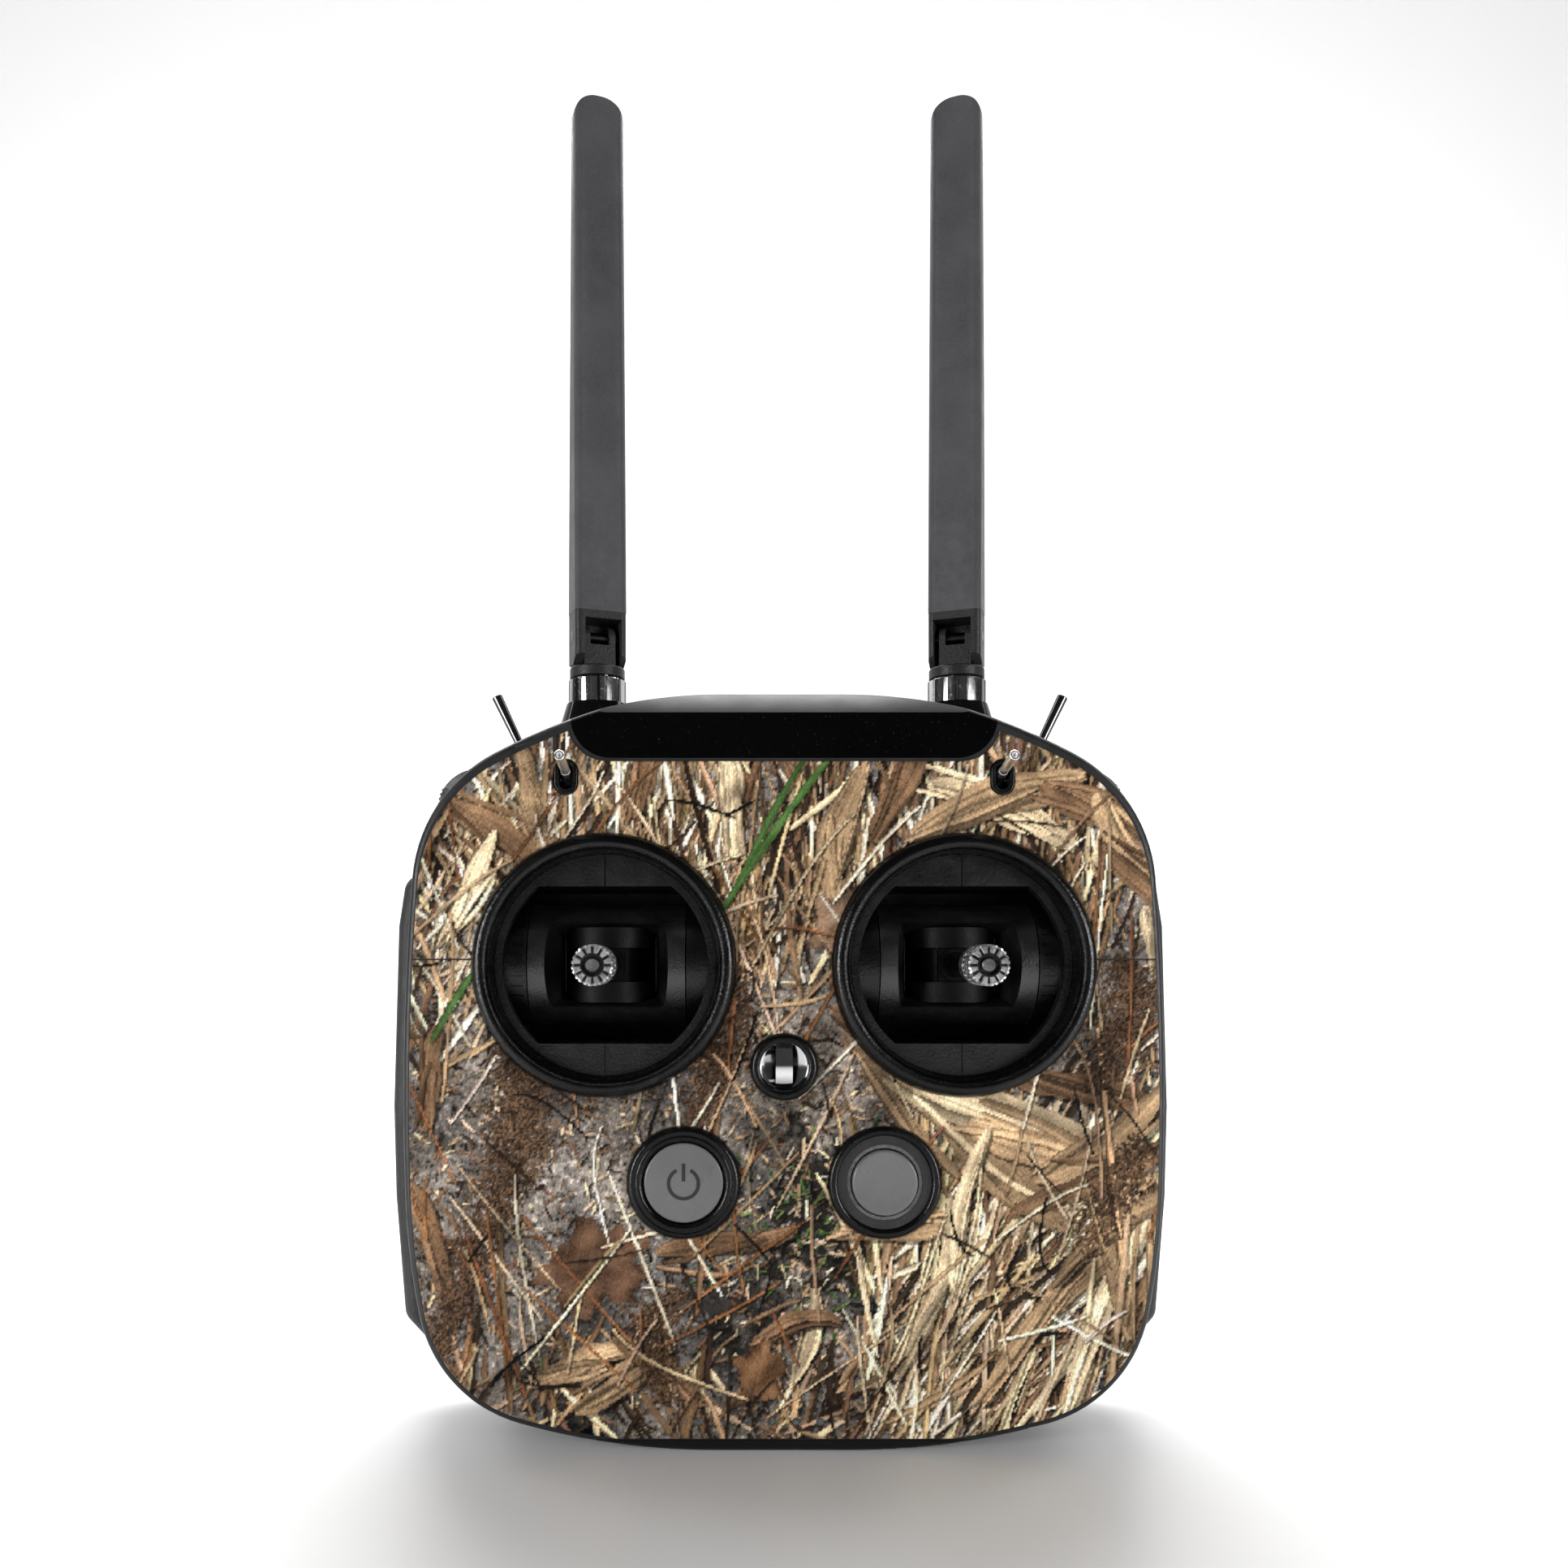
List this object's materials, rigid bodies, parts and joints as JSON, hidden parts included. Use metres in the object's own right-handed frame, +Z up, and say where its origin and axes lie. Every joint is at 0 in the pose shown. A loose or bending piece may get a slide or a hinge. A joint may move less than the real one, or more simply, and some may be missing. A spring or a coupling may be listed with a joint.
{
  "type": "radio control transmitter",
  "caption": "Handheld two-stick radio control transmitter with a camouflage-printed face skin, side grips, toggle switches and folding antennas.",
  "frame": {"origin": "bottom centre of the bounding box, on the surface the flat foot stands on", "axes": "+Z up along the antennas, +X to the right as seen by the user, the face looks towards -Y"},
  "size_m": [0.204, 0.0786, 0.3626],
  "materials": {
    "shell": "fine moulded grain, satin",
    "gloss_cover": "piano black gloss",
    "base_black": "satin black",
    "camo_print": "satin printed vinyl in a dry grass pattern",
    "grip_rubber": "soft grained rubber",
    "bezel_black": "fine grained satin black",
    "gimbal_black": "matte moulded black",
    "shaft_black": "black anodised",
    "stick_aluminium": "bright machined",
    "screw_steel": "satin steel",
    "chrome": "polished",
    "button_grey": "satin grey",
    "light_guide": "smoked clear plastic",
    "switch_black": "moulded black",
    "battery_door": "fine moulded grain, satin",
    "antenna_grey": "fine grained matte grey",
    "board_green": "solder-masked circuit board"
  },
  "bodies": {
    "case": {"front_shell": "shell", "side_frames": "shell", "rear_shell": "shell", "top_cover": "gloss_cover", "base_strip": "base_black", "camo_skin": "camo_print", "grip_left": "grip_rubber", "grip_right": "grip_rubber", "gimbal_frame_left": "gimbal_black", "gimbal_frame_right": "gimbal_black", "gimbal_bezel_left": "bezel_black", "gimbal_bezel_right": "bezel_black", "power_bezel": "bezel_black", "home_bezel": "bezel_black", "home_trim_ring": "button_grey", "home_light_ring": "light_guide", "lanyard_bezel": "bezel_black", "lanyard_disc": "chrome", "lanyard_bar": "chrome", "face_toggle_bezel_left": "bezel_black", "face_toggle_bezel_right": "bezel_black", "shoulder_toggle_nuts": "chrome", "toggle_switches": "switch_black", "antenna_seat_left": "antenna_grey", "antenna_seat_right": "antenna_grey", "antenna_connector_left": "chrome", "antenna_connector_right": "chrome", "circuit_boards": "board_green", "case_spacers": "switch_black", "battery_pack": "switch_black", "battery_cover": "battery_door", "led_light_guides": "light_guide", "case_screws": "screw_steel"},
    "stick_drum_left": {"gimbal_drum_left": "gimbal_black"},
    "stick_left": {"stick_yoke_left": "gimbal_black", "stick_shaft_left": "shaft_black", "stick_end_left": "stick_aluminium", "stick_screw_left": "screw_steel"},
    "stick_drum_right": {"gimbal_drum_right": "gimbal_black"},
    "stick_right": {"stick_yoke_right": "gimbal_black", "stick_shaft_right": "shaft_black", "stick_end_right": "stick_aluminium", "stick_screw_right": "screw_steel"},
    "power_button": {"power_button": "button_grey"},
    "home_button": {"home_button": "button_grey"},
    "face_toggle_left": {"face_toggle_lever_left": "chrome"},
    "shoulder_toggle_left": {"shoulder_toggle_lever_left": "chrome"},
    "face_toggle_right": {"face_toggle_lever_right": "chrome"},
    "shoulder_toggle_right": {"shoulder_toggle_lever_right": "chrome"},
    "dial_left": {"dial_left": "stick_aluminium"},
    "dial_right": {"dial_right": "stick_aluminium"},
    "antenna_base_left": {"antenna_neck_left": "antenna_grey"},
    "antenna_left": {"antenna_knuckle_left": "antenna_grey", "antenna_hinge_pin_left": "shaft_black", "antenna_blade_left": "antenna_grey"},
    "antenna_base_right": {"antenna_neck_right": "antenna_grey"},
    "antenna_right": {"antenna_knuckle_right": "antenna_grey", "antenna_hinge_pin_right": "shaft_black", "antenna_blade_right": "antenna_grey"}
  },
  "joints": [
    {"name": "stick_pitch_left", "type": "hinge", "parent": "case", "child": "stick_drum_left", "pos_m": [-0.04485, 0.01065, 0.1213], "axis": [-1, 0, 0], "range_deg": [-25, 25], "stiffness_Nm_per_rad": 0.08},
    {"name": "stick_yaw_left", "type": "hinge", "parent": "stick_drum_left", "child": "stick_left", "pos_m": [-0.04485, 0.01065, 0.1213], "axis": [0, 0, 1], "range_deg": [-25, 25], "stiffness_Nm_per_rad": 0.08},
    {"name": "stick_pitch_right", "type": "hinge", "parent": "case", "child": "stick_drum_right", "pos_m": [0.04485, 0.01065, 0.1213], "axis": [-1, 0, 0], "range_deg": [-25, 25], "stiffness_Nm_per_rad": 0.08},
    {"name": "stick_yaw_right", "type": "hinge", "parent": "stick_drum_right", "child": "stick_right", "pos_m": [0.04485, 0.01065, 0.1213], "axis": [0, 0, 1], "range_deg": [-25, 25], "stiffness_Nm_per_rad": 0.08},
    {"name": "power_press", "type": "slide", "parent": "case", "child": "power_button", "axis": [0, 1, 0], "range_m": [0, 0.001], "stiffness_N_per_m": 1500, "springref_m": -0.0002},
    {"name": "home_press", "type": "slide", "parent": "case", "child": "home_button", "axis": [0, 1, 0], "range_m": [0, 0.001], "stiffness_N_per_m": 1500, "springref_m": -0.0002},
    {"name": "face_toggle_flip_left", "type": "hinge", "parent": "case", "child": "face_toggle_left", "pos_m": [-0.0543, -0.00475, 0.1681], "axis": [1, 0, 0], "range_deg": [0, 20]},
    {"name": "shoulder_toggle_flip_left", "type": "hinge", "parent": "case", "child": "shoulder_toggle_left", "pos_m": [-0.06674, 0.01125, 0.1745], "axis": [0.9026, 0, 0.4305], "range_deg": [-12, 12]},
    {"name": "face_toggle_flip_right", "type": "hinge", "parent": "case", "child": "face_toggle_right", "pos_m": [0.0543, -0.00475, 0.1681], "axis": [1, 0, 0], "range_deg": [0, 20]},
    {"name": "shoulder_toggle_flip_right", "type": "hinge", "parent": "case", "child": "shoulder_toggle_right", "pos_m": [0.06674, 0.01125, 0.1745], "axis": [0.9026, 0, -0.4305], "range_deg": [-12, 12]},
    {"name": "dial_turn_left", "type": "hinge", "parent": "case", "child": "dial_left", "pos_m": [-0.0797, 0.00665, 0.1628], "axis": [0, 1, 0], "range_deg": [-30, 30]},
    {"name": "dial_turn_right", "type": "hinge", "parent": "case", "child": "dial_right", "pos_m": [0.0797, 0.00665, 0.1628], "axis": [0, 1, 0], "range_deg": [-30, 30]},
    {"name": "antenna_swivel_left", "type": "hinge", "parent": "case", "child": "antenna_base_left", "pos_m": [-0.0503, 0.02725, 0.2026], "axis": [0, 0, -1], "range_deg": [-90, 90]},
    {"name": "antenna_fold_left", "type": "hinge", "parent": "antenna_base_left", "child": "antenna_left", "pos_m": [-0.0503, 0.02725, 0.2127], "axis": [0.9397, 0.342, 0], "range_deg": [0, 90]},
    {"name": "antenna_swivel_right", "type": "hinge", "parent": "case", "child": "antenna_base_right", "pos_m": [0.0503, 0.02725, 0.2026], "axis": [0, 0, 1], "range_deg": [-90, 90]},
    {"name": "antenna_fold_right", "type": "hinge", "parent": "antenna_base_right", "child": "antenna_right", "pos_m": [0.0503, 0.02725, 0.2127], "axis": [0.9397, -0.342, 0], "range_deg": [0, 90]}
  ]
}
